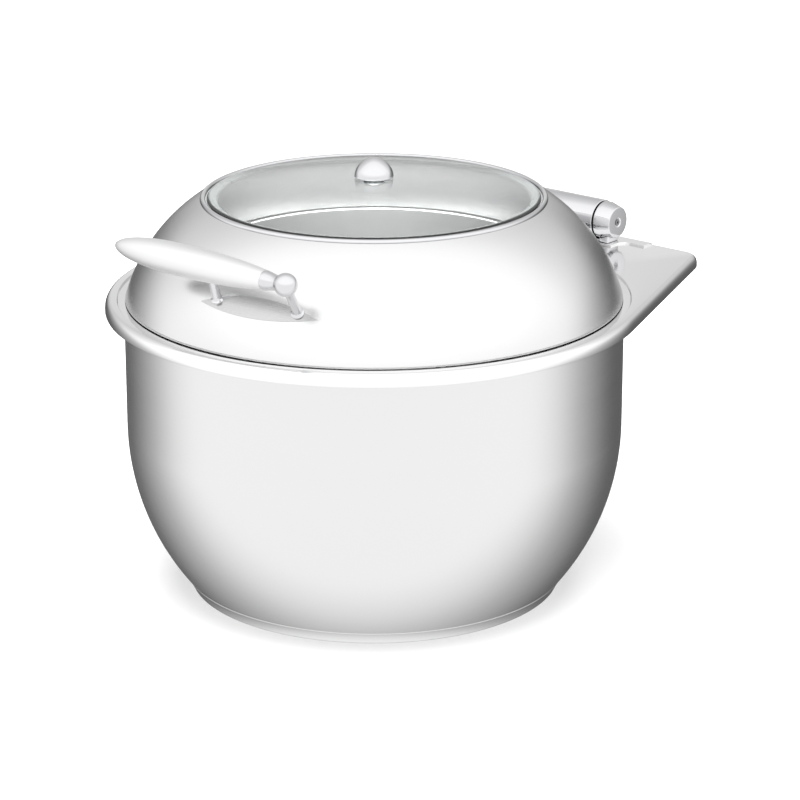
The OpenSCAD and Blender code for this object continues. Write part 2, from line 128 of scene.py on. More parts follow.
class KettleLidSizes(bpy.types.PropertyGroup):
    curve: length("Dome curve", "Radius of the dome's curve, seen from the side", 132.7 * MM)
    sheet: length("Lid sheet", "Sheet thickness of the lid", 1.1 * MM)
    window: length("Window radius", "Radius of the polished ring round the window", 130 * MM)
    glass: length("Glass thickness", "Thickness of the window glass", 4 * MM)
    glass_rise: length("Glass rise", "How far the window glass bulges upwards", 13.5 * MM)
    grip_neck: length("Grip neck", "Radius of the grip where it meets its metal end", 7.2 * MM)


class KettleColours(bpy.types.PropertyGroup):
    satin: colour("Satin steel", "Brushed body and lid", "#E4E4E4")
    polished: colour("Polished steel", "Ring, hinge and knob", "#D8D8DA")
    frame: colour("Frame steel", "Top frame and hinge pad", "#F2F2F2")
    pot: colour("Pot steel", "Soup pot", "#CECECE")
    plate: colour("Plate steel", "Handle plate and small plates", "#C6C6C6")
    fastener: colour("Fastener steel", "Screws, nuts and the shaft", "#A8A8AA")
    grip: colour("Grip", "Pearl-blasted grip", "#F2F2F2")
    silicone: colour("Silicone", "Gasket, washers and bumpers", "#E9ECEC")
    bronze: colour("Bronze", "Hinge bushes", "#A97A4C")
    damper: colour("Damper plastic", "Dampers and thrust washers", "#161618")
    glass: colour("Glass", "Window glass", "#FAFDFC")
    floor: colour("Floor", "Studio floor", "#FBFBFB")


def pan_sizes():
    return bpy.context.scene.kettle_pan


def frame_sizes():
    return bpy.context.scene.kettle_frame


def lid_sizes():
    return bpy.context.scene.kettle_lid


def linear(code):
    """Turns an sRGB hex value into the linear colour that a shader takes."""
    channels = [int(code[i : i + 2], 16) / 255 for i in (1, 3, 5)]
    return [c / 12.92 if c <= 0.04045 else ((c + 0.055) / 1.055) ** 2.4 for c in channels] + [1.0]


# ---------------------------------------------------------------- materials


def add_node(tree, kind, links=(), **settings):
    """Adds one node: settings are its attributes or inputs, links pair an input with an output socket."""
    node = tree.nodes.new(kind)
    for key, value in settings.items():
        if hasattr(node, key):
            setattr(node, key, value)
        else:
            node.inputs[key.replace("_", " ")].default_value = value
    for socket, source in links:
        tree.links.new(source, node.inputs[socket])
    return node


def start_material(name):
    """A new material with a bare Principled shader, and its tree."""
    made = bpy.data.materials.new(name)
    made.use_nodes = True
    tree = made.node_tree
    tree.nodes.clear()
    shader = add_node(tree, "ShaderNodeBsdfPrincipled")
    output = add_node(tree, "ShaderNodeOutputMaterial")
    tree.links.new(shader.outputs["BSDF"], output.inputs["Surface"])
    return made, tree, shader


def round_streaks(tree, lines_per_m, along_per_m):
    """Fine lines that run round the kettle's axis, as a lathe leaves them: fine in radius and height."""
    place = add_node(tree, "ShaderNodeTexCoord").outputs["Object"]
    parts = add_node(tree, "ShaderNodeSeparateXYZ", [("Vector", place)])
    flat = add_node(tree, "ShaderNodeCombineXYZ", [("X", parts.outputs["X"]), ("Y", parts.outputs["Y"])])
    radius = add_node(tree, "ShaderNodeVectorMath", [(0, flat.outputs[0])], operation="LENGTH")
    fine_r = add_node(tree, "ShaderNodeMath", [(0, radius.outputs["Value"])], operation="MULTIPLY")
    fine_r.inputs[1].default_value = lines_per_m
    fine_z = add_node(tree, "ShaderNodeMath", [(0, parts.outputs["Z"])], operation="MULTIPLY")
    fine_z.inputs[1].default_value = lines_per_m
    slow = add_node(tree, "ShaderNodeMath", [(0, parts.outputs["X"])], operation="MULTIPLY")
    slow.inputs[1].default_value = along_per_m
    at = add_node(
        tree,
        "ShaderNodeCombineXYZ",
        [("X", fine_r.outputs[0]), ("Y", fine_z.outputs[0]), ("Z", slow.outputs[0])],
    )
    noise = add_node(tree, "ShaderNodeTexNoise", [("Vector", at.outputs[0])], Scale=1.0, Detail=3.0)
    return noise.outputs["Fac"]


def mottled(tree, size, detail=3.0):
    """Soft patches of about that size in metres."""
    place = add_node(tree, "ShaderNodeTexCoord").outputs["Object"]
    noise = add_node(tree, "ShaderNodeTexNoise", [("Vector", place)], Scale=1 / size, Detail=detail)
    return noise.outputs["Fac"]


def spread(tree, factor, low, high):
    """Maps a 0 to 1 pattern onto a range of values."""
    ranged = add_node(tree, "ShaderNodeMapRange", [("Value", factor)])
    ranged.inputs["From Min"].default_value = 0.3
    ranged.inputs["From Max"].default_value = 0.7
    ranged.inputs["To Min"].default_value = low
    ranged.inputs["To Max"].default_value = high
    return ranged.outputs["Result"]


def tinted(tree, factor, code, shade):
    """A colour that varies a little with a pattern, from a darker shade to the full colour."""
    full = linear(code)
    dark = [c * shade for c in full[:3]] + [1.0]
    mix = add_node(tree, "ShaderNodeMix", [("Factor", factor)], data_type="RGBA")
    for socket in mix.inputs:
        if socket.type == "RGBA":
            socket.default_value = dark if socket.name == "A" else full
    return next(s for s in mix.outputs if s.type == "RGBA")


def bump(tree, shader, height, depth):
    """Adds a bump of that depth in metres to a shader."""
    node = add_node(tree, "ShaderNodeBump", [("Height", height)], Strength=1.0, Distance=depth)
    tree.links.new(node.outputs["Normal"], shader.inputs["Normal"])


def metal(name, code, roughness, pattern, vary, depth, shade=0.97):
    """A steel whose roughness, colour and height follow one pattern."""
    made, tree, shader = start_material(name)
    shader.inputs["Metallic"].default_value = 1.0
    factor = pattern(tree)
    rough = spread(tree, factor, roughness - vary, roughness + vary)
    tree.links.new(rough, shader.inputs["Roughness"])
    tree.links.new(tinted(tree, factor, code, shade), shader.inputs["Base Color"])
    if depth:
        bump(tree, shader, factor, depth)
    return made


def satin_steel(colours):
    """Satin brushed stainless steel, drawn on a lathe: fine lines round the body soften every reflection.

    A real line is about 0.05 mm wide; it is drawn 0.7 mm wide, so that it shows at all.
    """
    return metal(
        "satin_brushed_stainless_steel", colours.satin, 0.25,
        lambda tree: round_streaks(tree, 1 / (0.7 * MM), 6.0), 0.02, 0.0006 * MM,
    )


def pot_steel(colours):
    """Deep-drawn stainless steel, brushed inside: a little smoother than the body."""
    return metal(
        "deep_drawn_stainless_steel", colours.pot, 0.3,
        lambda tree: round_streaks(tree, 1 / (0.9 * MM), 8.0), 0.015, 0.0004 * MM, 0.985,
    )


def polished_steel(colours):
    """Mirror-polished stainless steel: clear reflections with a faint unevenness from the buffing wheel."""
    return metal(
        "mirror_polished_stainless_steel", colours.polished, 0.06,
        lambda tree: mottled(tree, 25 * MM), 0.015, 0.0, 0.99,
    )


def frame_steel(colours):
    """Satin-chromed stainless steel: bright, and a little softer than a mirror, so that edges in it blur."""
    return metal(
        "satin_chromed_stainless_steel", colours.frame, 0.12,
        lambda tree: mottled(tree, 30 * MM), 0.015, 0.0, 0.99,
    )


def plate_steel(colours):
    """Satin steel plate: straight fine grain that greys the reflections."""
    return metal(
        "satin_steel_plate", colours.plate, 0.28,
        lambda tree: round_streaks(tree, 1 / (0.6 * MM), 30.0), 0.03, 0.0006 * MM, 0.99,
    )


def fastener_steel(colours):
    """Turned steel screws and shaft: a slightly dull bright metal."""
    return metal(
        "turned_steel", colours.fastener, 0.25,
        lambda tree: mottled(tree, 1.5 * MM), 0.05, 0.005 * MM, 0.9,
    )


def blasted_metal(colours):
    """Pearl-blasted metal: beads leave a fine even grain that glows without a clear reflection.

    A real grain is about 0.3 mm; it is drawn 0.6 mm, so that it shows at all.
    """
    return metal(
        "pearl_blasted_metal", colours.grip, 0.42,
        lambda tree: mottled(tree, 0.6 * MM, 2.0), 0.04, 0.01 * MM, 0.97,
    )


def silicone(colours):
    """Clear silicone rubber: soft, slightly cloudy and glossy."""
    made, tree, shader = start_material("clear_silicone_rubber")
    cloud = mottled(tree, 6 * MM)
    tree.links.new(tinted(tree, cloud, colours.silicone, 0.93), shader.inputs["Base Color"])
    tree.links.new(spread(tree, cloud, 0.25, 0.4), shader.inputs["Roughness"])
    shader.inputs["IOR"].default_value = 1.41
    shader.inputs["Transmission Weight"].default_value = 0.5
    return made


def bronze(colours):
    """Sintered bronze: a warm metal, slightly porous and oily."""
    return metal(
        "sintered_bronze", colours.bronze, 0.35,
        lambda tree: mottled(tree, 0.8 * MM), 0.08, 0.02 * MM, 0.8,
    )


def damper_plastic(colours):
    """Moulded acetal plastic: black with a fine moulded grain."""
    made, tree, shader = start_material("moulded_acetal_plastic")
    grain = mottled(tree, 0.5 * MM)
    tree.links.new(tinted(tree, grain, colours.damper, 0.8), shader.inputs["Base Color"])
    tree.links.new(spread(tree, grain, 0.4, 0.55), shader.inputs["Roughness"])
    bump(tree, shader, grain, 0.01 * MM)
    shader.inputs["IOR"].default_value = 1.48
    return made


def window_glass(colours):
    """Tempered float glass: clear, with a very faint waviness from the furnace."""
    made, tree, shader = start_material("tempered_glass")
    wave = mottled(tree, 60 * MM)
    tree.links.new(spread(tree, wave, 0.0, 0.012), shader.inputs["Roughness"])
    shader.inputs["Base Color"].default_value = linear(colours.glass)
    shader.inputs["IOR"].default_value = 1.5
    shader.inputs["Transmission Weight"].default_value = 1.0
    return made


def floor_paper(colours):
    """Matt studio paper: pale, with a faint tooth."""
    made, tree, shader = start_material("matt_studio_paper")
    tooth = mottled(tree, 4 * MM)
    tree.links.new(tinted(tree, tooth, colours.floor, 0.995), shader.inputs["Base Color"])
    shader.inputs["Roughness"].default_value = 0.9
    return made


FINISHES = {
    "satin_steel": satin_steel,
    "base_steel": satin_steel,
    "pot_steel": pot_steel,
    "polished_steel": polished_steel,
    "frame_steel": frame_steel,
    "plate_steel": plate_steel,
    "fastener_steel": fastener_steel,
    "blasted_metal": blasted_metal,
    "clear_silicone": silicone,
    "bearing_bronze": bronze,
    "damper_plastic": damper_plastic,
    "window_glass": window_glass,
}
made_finishes = {}


def finish_for(slot):
    """The material of a record slot, made once."""
    maker = FINISHES[slot]
    if maker not in made_finishes:
        made_finishes[maker] = maker(bpy.context.scene.kettle_colours)
    return made_finishes[maker]


# ---------------------------------------------------------------- shapes


def arc(cx, cz, radius, start, end, steps):
    """Points on an arc in the (radius, height) plane, angles in degrees."""
    points = []
    for i in range(steps + 1):
        a = math.radians(start + (end - start) * i / steps)
        points.append((cx + radius * math.cos(a), cz + radius * math.sin(a)))
    return points


def spin_profile(profile, steps=192, closed=True):
    """A bmesh of a half section turned round Z: a closed one is a ring, an open one has both ends on Z."""
    bm = bmesh.new()
    verts = [bm.verts.new((r, 0, z)) for r, z in profile]
    edges = [bm.edges.new(pair) for pair in zip(verts, verts[1:])]
    if closed:
        edges.append(bm.edges.new((verts[-1], verts[0])))
    bmesh.ops.spin(
        bm, geom=verts + edges, cent=(0, 0, 0), axis=(0, 0, 1), angle=TURN, steps=steps, use_merge=True
    )
    tidy(bm)
    return bm


def tidy(bm):
    bmesh.ops.remove_doubles(bm, verts=bm.verts, dist=1e-6)
    bmesh.ops.dissolve_degenerate(bm, edges=bm.edges, dist=1e-7)
    bmesh.ops.recalc_face_normals(bm, faces=bm.faces)


def aim(bm, start, direction):
    """Turns a bmesh built along Z so that it runs from start along a direction."""
    turn = AXIS_Z.rotation_difference(Vector(direction)).to_matrix().to_4x4()
    bmesh.ops.transform(bm, matrix=Matrix.Translation(start) @ turn, verts=bm.verts)


def soften(bm, width, segments=3, angle=30):
    """Bevels every edge sharper than an angle."""
    limit = math.radians(angle)
    sharp = [e for e in bm.edges if e.is_manifold and e.calc_face_angle(0) > limit]
    bmesh.ops.bevel(
        bm, geom=sharp, offset=width, segments=segments, profile=0.5, affect="EDGES", material=-1,
        clamp_overlap=True,
    )
    bmesh.ops.recalc_face_normals(bm, faces=bm.faces)


def place_piece(bm, name, body, slot, replaced, sharp=35):
    """Makes the object of a finished bmesh, and joins it to the frame."""
    limit = math.radians(sharp)
    for face in bm.faces:
        face.smooth = True
    for edge in bm.edges:
        edge.smooth = not edge.is_manifold or edge.calc_face_angle(0) < limit
    mesh = bpy.data.meshes.new(name)
    bm.to_mesh(mesh)
    bm.free()
    piece = bpy.data.objects.new(name, mesh)
    bpy.context.scene.collection.objects.link(piece)
    mesh.materials.append(finish_for(slot))
    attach(piece, body)
    if replaced:
        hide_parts(*replaced)
    return piece


def cad_copy(node):
    """A merged bmesh copy of a CAD node, with its flat faces joined."""
    bm = bmesh.new()
    bm.from_mesh(frame["nodes"][node].data)
    bmesh.ops.remove_doubles(bm, verts=bm.verts, dist=1e-6)
    bmesh.ops.dissolve_limit(
        bm, angle_limit=math.radians(0.5), verts=bm.verts, edges=bm.edges, use_dissolve_boundaries=False
    )
    return bm


def rod(start, end, profile, steps=48):
    """A turned rod between two points: profile gives (radius, share of the length)."""
    line = end - start
    bm = spin_profile([(r, t * line.length) for r, t in profile], steps, closed=False)
    aim(bm, start, line)
    return bm


# ---------------------------------------------------------------- pieces


def base_disc():
    size = pan_sizes()
    top = top_of("induction_base")
    wide = radius_of("induction_base")
    narrow = wide - size.base_taper
    edge = 1 * MM
    profile = [(0, 0), (narrow - edge - 2 * MM, 0), (narrow - edge, 0)]
    profile += arc(narrow - edge, edge, edge, -80, -10, 6)
    profile += [(wide - 0.5 * MM, top - 0.8 * MM), (wide - 0.1 * MM, top - 0.4 * MM), (wide - 0.3 * MM, top)]
    profile += [(0, top)]
    place_piece(spin_profile(profile, closed=False), "base_disc", "base", "base_steel", ["induction_base"])


def water_pan():
    size = pan_sizes()
    top, low = top_of("water_pan"), low_of("water_pan")
    wall, r, cz = size.sheet, size.radius, size.bowl_centre
    flange = radius_of("water_pan")
    floor = low + wall
    out_start = -math.degrees(math.asin((cz - low) / r))
    in_start = -math.degrees(math.asin((cz - floor) / (r - wall)))
    profile = [(0, low)] + arc(0, cz, r, out_start, 0, 72) + [(r, top - wall), (flange, top - wall)]
    profile += [(flange, top), (r - wall, top)] + arc(0, cz, r - wall, 0, in_start, 72) + [(0, floor)]
    bm = spin_profile(profile, 256, closed=False)
    place_piece(bm, "pan_body", "base", "satin_steel", ["water_pan"])


def plate_corner():
    """Centre of the hinge plate's right corner."""
    size = frame_sizes()
    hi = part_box("top_frame")[1]
    y = hi.y - size.corner
    x = (hi.x - size.corner - y * math.sin(size.side_angle)) / math.cos(size.side_angle)
    return x, y


def frame_outline(inset, circle):
    """Points round the frame's outline, inset by a distance, or the points of a circle that match them."""
    size = frame_sizes()
    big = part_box("top_frame")[1].x - inset
    small = size.corner - inset
    cx, cy = plate_corner()
    lean = math.degrees(size.side_angle)
    right = arc(0, 0, big, -90, lean, 110)
    corner = arc(cx, cy, small, lean, 90, 14)
    side = [lerp(right[-1], corner[0], i / 40) for i in range(1, 40)]
    rear = [lerp(corner[-1], (0, cy + small), i / 36) for i in range(1, 36)]
    half = right + side + corner + rear + [(0, cy + small)]
    points = half + [(-x, y) for x, y in reversed(half[1:-1])]
    if circle:
        points = [Vector(p).normalized() * circle for p in points]
    return points


def lerp(a, b, t):
    return (a[0] + (b[0] - a[0]) * t, a[1] + (b[1] - a[1]) * t)


def sweep_outline(rows):
    """A closed ring of sheet: each row (inset, z, circle) is extruded from the row before it."""
    bm = bmesh.new()
    order = [bm.verts.new((x, y, rows[0][1])) for x, y in frame_outline(rows[0][0], rows[0][2])]
    edges = [bm.edges.new(pair) for pair in zip(order, order[1:] + order[:1])]
    for inset, z, circle in rows[1:] + rows[:1]:
        made = bmesh.ops.extrude_edge_only(bm, edges=edges)["geom"]
        fresh = {v for v in made if isinstance(v, bmesh.types.BMVert)}
        follow = {e.other_vert(v): v for v in fresh for e in v.link_edges if e.other_vert(v) not in fresh}
        order = [follow[v] for v in order]
        for vert, (x, y) in zip(order, frame_outline(inset, circle)):
            vert.co = (x, y, z)
        edges = [e for e in made if isinstance(e, bmesh.types.BMEdge) and set(e.verts) <= fresh]
    tidy(bm)
    return bm


def top_frame():
    size = frame_sizes()
    lo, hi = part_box("top_frame")
    top, low, roll, wall = hi.z, lo.z, size.edge_roll, size.sheet
    seat = top - size.seat_drop
    step = 0.35 * MM
    rows = [
        (0, seat - wall, size.hole_radius),
        (0, seat - 0.3 * MM, size.hole_radius),
        (0, seat, size.hole_radius + 0.4 * MM),
        (0, seat, size.seat_radius - step),
        (0, seat + step, size.seat_radius),
        (0, top - step, size.seat_radius),
        (0, top, size.seat_radius + step),
    ]
    # the rolled outer edge: a quarter ellipse, then a short straight apron that curls under
    drop = 6.4 * MM
    for i in range(11):
        a = math.radians(90 - 9 * i)
        rows.append((roll * (1 - math.cos(a)), top - drop * (1 - math.sin(a)), None))
    rows += [(0, low + 1 * MM, None), (0.3 * MM, low + 0.3 * MM, None), (1 * MM, low, None)]
    rows += [(wall, low + 0.6 * MM, None), (wall, top - drop, None), (wall + 1.5 * MM, top - wall, None)]
    rows += [(0, top - wall, size.seat_radius + wall), (0, seat - wall, size.seat_radius + wall - 0.4 * MM)]
    place_piece(sweep_outline(rows), "rim_and_hinge_plate", "base", "frame_steel", ["top_frame"], sharp=40)


def soup_pot():
    lo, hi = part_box("soup_pot")
    wall = POT_WALL
    r = hi.x - POT_RIM
    corner, floor = 16 * MM, 3 * MM
    roll = 1 * MM
    profile = [(0, lo.z)] + arc(r - corner, lo.z + corner, corner, -90, 0, 16)
    throat = 1.5 * MM
    under = hi.z - 2 * roll - throat
    profile += [(r, under)] + arc(r + throat, under, throat, 170, 95, 6)
    profile += arc(hi.x - roll, hi.z - roll, roll, -85, 90, 14)
    profile += arc(r + 1 * MM, hi.z - 2 * MM, 2 * MM, 92, 178, 8)
    inner = corner - wall
    profile += arc(r - corner, lo.z + floor + inner, inner, 0, -90, 16) + [(0, lo.z + floor)]
    bm = spin_profile(profile, 256, closed=False)
    place_piece(bm, "pot", "pot", "pot_steel", ["soup_pot"], sharp=50)


def adapter_collar():
    lo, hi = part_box("adapter_collar")
    wall = 1.2 * MM
    hole = radius_of("soup_pot") - POT_RIM + COLLAR_GAP
    slope_out, slope_in = hi.x - 9 * MM, hole + 6 * MM
    low, top = lo.z, hi.z
    profile = [(hi.x, low), (hi.x, low + wall)]
    profile += [(slope_out + 1 * MM, low + wall), (slope_out - 1 * MM, low + 1.4 * wall)]
    profile += [(slope_in + 1.4 * MM, top - 0.9 * MM), (slope_in, top), (hole, top)]
    profile += [(hole, top - wall), (slope_in - 0.5 * MM, top - wall), (slope_out - 0.7 * MM, low)]
    bm = spin_profile(profile, 256)
    place_piece(bm, "pot_collar", "base", "satin_steel", ["adapter_collar"], sharp=25)


def dome_centre():
    """Centre of the dome's arc, from its lower and upper edges, and those two edges."""
    lo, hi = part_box("lid_dome")
    size = lid_sizes()
    low = Vector((hi.x, lo.z))
    high = Vector((size.window + RING_STEP, hi.z))
    chord = high - low
    back = math.sqrt(size.curve**2 - (chord.length / 2) ** 2)
    centre = (low + high) / 2 + back * Vector((-chord.y, chord.x)).normalized()
    return centre, low, high


def lid_dome():
    size = lid_sizes()
    centre, low, high = dome_centre()
    wall = size.sheet
    start = math.degrees(math.atan2(low.y - centre.y, low.x - centre.x))
    end = math.degrees(math.atan2(high.y - centre.y, high.x - centre.x))
    flange = low.x - 8 * MM
    ledge = high.y - WINDOW_LEDGE
    inner_r = size.window - 12 * MM
    hem = 0.5 * MM
    profile = arc(centre.x, centre.y, size.curve, start + 0.2, end, 72)
    profile += [(high.x, ledge + 1 * MM), (inner_r, ledge + 1 * MM), (inner_r, ledge)]
    profile += [(high.x + 0.4 * MM, ledge)]
    inside = arc(centre.x, centre.y, size.curve - wall, end - 2.4, start + 0.7, 60)
    profile += inside + [(flange, low.y + wall), (flange, low.y)]
    profile += [(low.x - 2 * hem, low.y), (low.x - 0.4 * hem, low.y + 0.2 * hem)]
    place_piece(spin_profile(profile, 256), "lid_shell", "lid", "satin_steel", ["lid_dome"], sharp=30)


def window_parts():
    size = lid_sizes()
    base = top_of("lid_dome")
    bead, seat = 2.2 * MM, low_of("window_ring")
    profile = arc(size.window, base + 0.1 * MM, bead, 0, 180, 20)
    inner, outer = size.window - 1.8 * MM, size.window + 1.5 * MM
    profile += [(inner, base - 0.2 * MM), (inner, seat), (outer, seat), (outer, base + 0.05 * MM)]
    place_piece(spin_profile(profile, 256), "polished_window_ring", "lid", "polished_steel", ["window_ring"])

    lo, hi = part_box("glass_gasket")
    inner, lip, rest = size.window - 11 * MM, size.window - 3.2 * MM, lo.z + 1.2 * MM
    profile = [(inner, lo.z), (hi.x, lo.z), (hi.x, hi.z - 0.3 * MM), (hi.x - 0.3 * MM, hi.z)]
    profile += [(lip + 0.3 * MM, hi.z), (lip, hi.z - 0.3 * MM), (lip, rest), (inner, rest)]
    place_piece(spin_profile(profile, 256), "window_gasket", "lid", "clear_silicone", ["glass_gasket"])

    edge, low = radius_of("window_glass"), low_of("window_glass")
    rise, thick, hole = size.glass_rise, size.glass, 4 * MM
    ball = (edge**2 + rise**2) / (2 * rise)
    cz = low + rise - ball
    under = [(hole + (edge - 0.5 * MM - hole) * i / 40) for i in range(41)]
    bottom = [(r, cz + math.sqrt(ball**2 - r**2)) for r in under]
    top = [(r, cz + math.sqrt((ball + thick) ** 2 - r**2)) for r in reversed(under)]
    rounded = [(edge, bottom[-1][1] + 0.7 * MM), (edge, top[0][1] - 0.7 * MM)]
    bm = spin_profile(bottom + rounded + top, 256)
    place_piece(bm, "window_pane", "lid", "window_glass", ["window_glass"], sharp=50)


def knob():
    lo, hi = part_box("knob_cap")
    r, high = hi.x, hi.z - lo.z
    edge = 0.8 * MM
    profile = [(0, lo.z), (r - 1.6 * MM, lo.z)] + arc(r - edge, lo.z + edge, edge, -70, 10, 6)
    # a turned drop: full and round at the foot, drawn up to a small tip
    for i in range(40):
        t = 1 - (1 - i / 40) ** 1.6
        profile.append((0.985 * r * (1 - t**1.8) ** 0.6, lo.z + 1.3 * MM + (high - 1.5 * MM) * t))
    profile.append((0, hi.z))
    bm = spin_profile(profile, 96, closed=False)
    place_piece(bm, "lid_knob", "lid", "polished_steel", ["knob_cap"], sharp=45)

    lo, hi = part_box("drip_boss")
    r, deep = hi.x, hi.z - lo.z
    lip = 0.3 * MM
    profile = [(0, hi.z), (r - lip, hi.z)]
    for i in range(17):
        t = i / 16
        across = r * math.cos(math.pi / 2 * t) ** 0.8 if t < 1 else 0
        profile.append((across, hi.z - lip - (deep - lip) * t**1.1))
    bm = spin_profile(profile, 96, closed=False)
    place_piece(bm, "drip_cone", "lid", "polished_steel", ["drip_boss"], sharp=45)


def grip_radius(t, fat):
    """The grip's radius along its length, from its free tip (0) to its metal end (1)."""
    fat_at, power, neck = 0.46, 2.4, lid_sizes().grip_neck
    if t < fat_at:
        return fat * math.sqrt(max(1 - ((fat_at - t) / fat_at) ** power, 0))
    return neck + (fat - neck) * (1 - ((t - fat_at) / (1 - fat_at)) ** power)


def handle():
    lo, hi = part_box("handle_grip")
    fat = (hi.z - lo.z) / 2
    long = hi.x - lo.x
    axis = Vector((lo.x, (lo.y + hi.y) / 2, (lo.z + hi.z) / 2))
    profile = [((1 - math.cos(math.pi * i / 72)) / 2) for i in range(73)]
    bm = spin_profile([(grip_radius(t, fat), t * long) for t in profile] + [(0, long)], 96, closed=False)
    aim(bm, axis, (1, 0, 0))
    place_piece(bm, "grip", "lid", "blasted_metal", ["handle_grip"])

    neck = lid_sizes().grip_neck
    lo_b, hi_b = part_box("grip_end_ball")
    ball = (hi_b.z - lo_b.z) / 2
    span = hi_b.x - lo_b.x
    at = span - ball
    profile = [(0, 0), (neck, 0), (neck + 0.1 * MM, 0.5 * MM), (neck - 0.3 * MM, 3 * MM)]
    profile += [(neck - 1.2 * MM, 8 * MM), (neck - 1.7 * MM, at - ball * 0.86)]
    for turn in range(-48, 91, 6):
        a = math.radians(turn)
        profile.append((ball * math.cos(a), at + ball * math.sin(a)))
    bm = spin_profile(profile, 64, closed=False)
    aim(bm, Vector((lo_b.x, axis.y, axis.z)), (1, 0, 0))
    place_piece(bm, "grip_end", "lid", "polished_steel", ["grip_end_ball"])

    for side in ("left", "right"):
        start, end = post_line(side)
        long = (end - start).length
        r = POST_RADIUS
        foot = foot_share(start, end)
        collar = 1.5 * MM / long
        profile = [(0, 0), (r, 0), (r, foot), (r + 1.6 * MM, foot), (r + 1.7 * MM, foot + 0.5 * collar)]
        profile += [(r + 0.8 * MM, foot + collar), (r + 0.1 * MM, foot + 1.6 * collar)]
        profile += [(r, foot + 2.4 * collar), (r, 1), (0, 1)]
        name = f"handle_post_{side}"
        place_piece(rod(start, end, profile), f"post_{side}", "lid", "polished_steel", [name])

    bm = cad_copy("handle_plate")
    place_piece(bm, "pointed_handle_plate", "lid", "plate_steel", ["handle_plate"], sharp=30)


def post_line(side):
    """The two ends of a handle post, as the middles of the rims of its CAD rod, because it leans."""
    ends = [v.co for v in frame["nodes"][f"handle_post_{side}"].data.vertices]
    low = [p for p in ends if (p - min(ends, key=lambda q: q.z)).length < 7 * MM]
    high = [p for p in ends if (p - max(ends, key=lambda q: q.z)).length < 7 * MM]
    return (sum(low, Vector()) / len(low), sum(high, Vector()) / len(high))


def foot_share(start, end):
    """How far along a post it leaves the handle plate on the dome."""
    centre = dome_centre()[0]
    plate, steps = 0.8 * MM, 400
    for i in range(steps):
        p = start.lerp(end, i / steps)
        if math.hypot(math.hypot(p.x, p.y) - centre.x, p.z - centre.y) > lid_sizes().curve + plate:
            return i / steps
    raise ValueError("a handle post doesn't reach the dome's outer face")


def tube(node, piece_name, body, slot, wall, edge):
    """A round piece on the hinge axis with softened ends."""
    lo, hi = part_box(node)
    r, long = (hi.z - lo.z) / 2, hi.x - lo.x
    bore = r - wall
    profile = [(bore, 0), (bore, long), (r - edge, long)] + arc(r - edge, long - edge, edge, 90, 0, 6)
    profile += arc(r - edge, edge, edge, 0, -90, 6)
    bm = spin_profile(profile, 96)
    aim(bm, Vector((lo.x, HINGE.y, HINGE.z)), (1, 0, 0))
    place_piece(bm, piece_name, body, slot, [node])


def end_cap(side):
    lo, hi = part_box(f"hinge_cap_{side}")
    r, long = (hi.z - lo.z) / 2, hi.x - lo.x
    taper, face, round_r = 10 * MM, r - 2.8 * MM, 0.8 * MM
    hollow, deep, screw = 9 * MM, long - 3.6 * MM, 3.7 * MM
    profile = [(hollow, 0), (r - 0.4 * MM, 0), (r, 0.4 * MM), (r, long - taper)]
    profile += arc(face - round_r, long - round_r, round_r, 10, 80, 5) + [(face - 1.2 * round_r, long)]
    profile += [(screw + 0.4 * MM, long), (screw, long - 0.4 * MM), (2 * MM, long - 2 * MM)]
    profile += [(2 * MM, deep), (hollow, deep)]
    bm = spin_profile(profile, 96)
    out = 1 if side == "right" else -1
    inner = lo.x if side == "right" else hi.x
    aim(bm, Vector((inner, HINGE.y, HINGE.z)), (out, 0, 0))
    place_piece(bm, f"end_cap_{side}", "base", "polished_steel", [f"hinge_cap_{side}"], sharp=40)


def hinge_foot(side):
    lo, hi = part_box(f"hinge_foot_{side}")
    bm = bmesh.new()
    bmesh.ops.create_cube(bm, size=1)
    wide, deep, high = hi.x - lo.x - 1 * MM, 15 * MM, HINGE.z - lo.z
    bmesh.ops.scale(bm, vec=(wide, deep, high), verts=bm.verts)
    bmesh.ops.translate(bm, vec=((lo.x + hi.x) / 2, HINGE.y, lo.z + high / 2), verts=bm.verts)
    soften(bm, 1.2 * MM)
    place_piece(bm, f"foot_{side}", "base", "polished_steel", [f"hinge_foot_{side}"])


def hinge_pad():
    bm = cad_copy("hinge_pad")
    place_piece(bm, "raised_hinge_pad", "base", "frame_steel", ["hinge_pad"], sharp=30)


def hinge_arm():
    bm = cad_copy("hinge_arm")
    place_piece(bm, "lid_arm", "lid", "polished_steel", ["hinge_arm"], sharp=30)


def small_parts():
    """Gives every CAD node that still shows the material of its slot."""
    slots = {s["node"]: s["material_slot"] for s in frame["record"]["subparts"]}
    for name, node in frame["nodes"].items():
        if node.hide_render:
            continue
        finish = finish_for(slots[name])
        if not node.material_slots:
            node.data.materials.append(finish)
        for holder in node.material_slots:
            holder.material = finish


# ---------------------------------------------------------------- stage


VIEW_TURN = math.radians(40.2)
VIEW_TILT = math.radians(18.37)
VIEW_DISTANCE = 2.415
VIEW_HEIGHT = 0.1435
VIEW_ASIDE = 0.0197

LOW_LEVEL = 1.19
HIGH_LEVEL = 1.42
STRIP_STRETCH = (1, 1, 1.8)
OVERHEAD_HEIGHT = 2.8
OVERHEAD_SIZE = 3.0
OVERHEAD_POWER = 80
FILL_DROP = 4 * MM
FILL_SIZE = 0.22
FILL_POWER = 0.65


